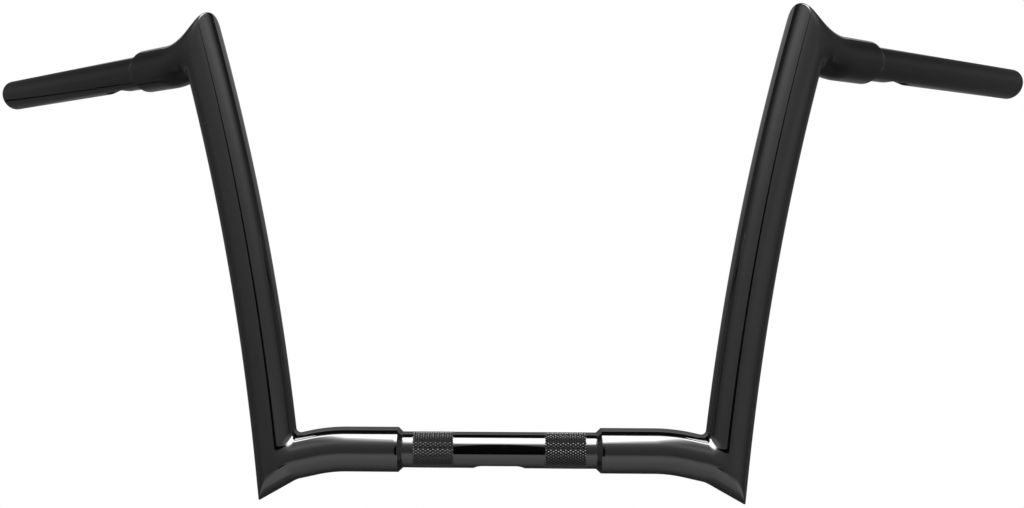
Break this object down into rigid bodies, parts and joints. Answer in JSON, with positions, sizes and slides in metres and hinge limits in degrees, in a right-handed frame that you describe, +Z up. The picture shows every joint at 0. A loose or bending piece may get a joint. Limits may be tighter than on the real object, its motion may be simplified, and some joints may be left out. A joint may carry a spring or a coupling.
{
  "type": "ape hanger handlebar",
  "caption": "Tall motorcycle handlebar of bent and mitred tube, with a knurled clamp section, leaning uprights, pointed corners and swept-back grip ends.",
  "frame": {"origin": "middle of the clamp section, on its axis", "axes": "+X along the clamp section to the rider's left, +Y back towards the rider, +Z up in the plane of the uprights"},
  "size_m": [0.9066, 0.2302, 0.3684],
  "materials": {
    "gloss_black": "gloss"
  },
  "bodies": {
    "root": {"clamp_tube": "gloss_black", "left_lower_bend": "gloss_black", "right_lower_bend": "gloss_black", "left_upright": "gloss_black", "right_upright": "gloss_black", "left_pullback_tube": "gloss_black", "right_pullback_tube": "gloss_black", "left_grip_tube": "gloss_black", "right_grip_tube": "gloss_black"}
  },
  "joints": []
}
